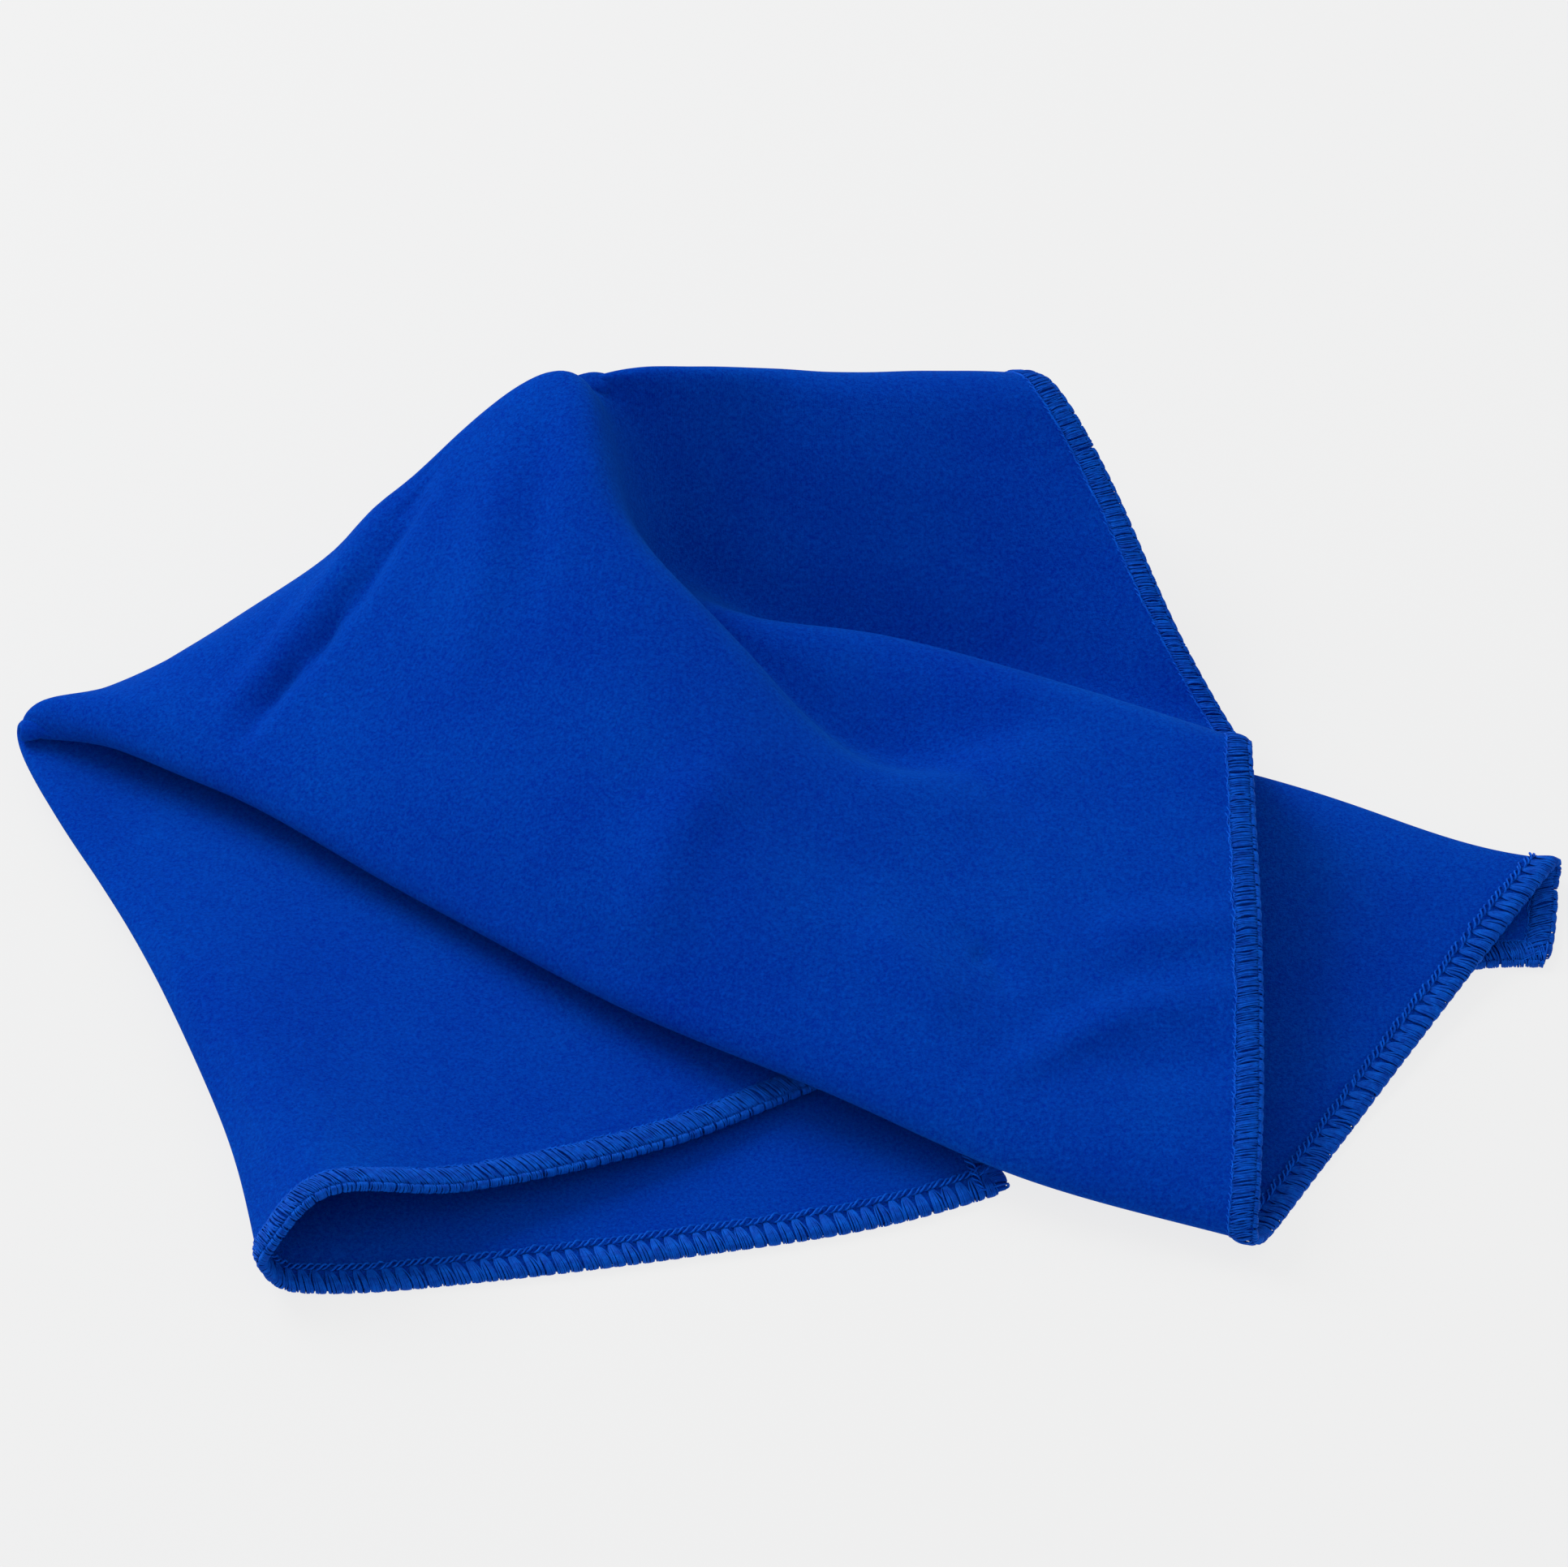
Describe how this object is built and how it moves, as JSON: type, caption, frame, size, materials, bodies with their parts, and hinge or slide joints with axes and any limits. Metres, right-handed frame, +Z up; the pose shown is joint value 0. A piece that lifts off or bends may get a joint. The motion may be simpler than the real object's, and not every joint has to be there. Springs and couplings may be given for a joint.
{
  "type": "quick dry towel",
  "caption": "Square suede-finish microfibre travel towel with overlocked edges, lying loosely folded: folded in half, then pleated, with a tall soft peak at the back.",
  "frame": {"origin": "centre of the bottom of the bounding box, on the surface that the towel lies on", "axes": "+Z up; +X from the pointed left fold towards the right-hand hem; +Y from the front hem to the back hem"},
  "size_m": [0.279, 0.2054, 0.0541],
  "materials": {
    "towel_fabric": "brushed suede microfibre",
    "overlock_thread": "textured polyester thread"
  },
  "bodies": {
    "root": {"towel_cloth": "towel_fabric", "front_hem_looper_threads": "overlock_thread", "front_hem_needle_thread": "overlock_thread", "back_hem_looper_threads": "overlock_thread", "back_hem_needle_thread": "overlock_thread", "under_hem_looper_threads": "overlock_thread", "under_hem_needle_thread": "overlock_thread", "right_hem_looper_threads": "overlock_thread", "right_hem_needle_thread": "overlock_thread"}
  },
  "joints": []
}
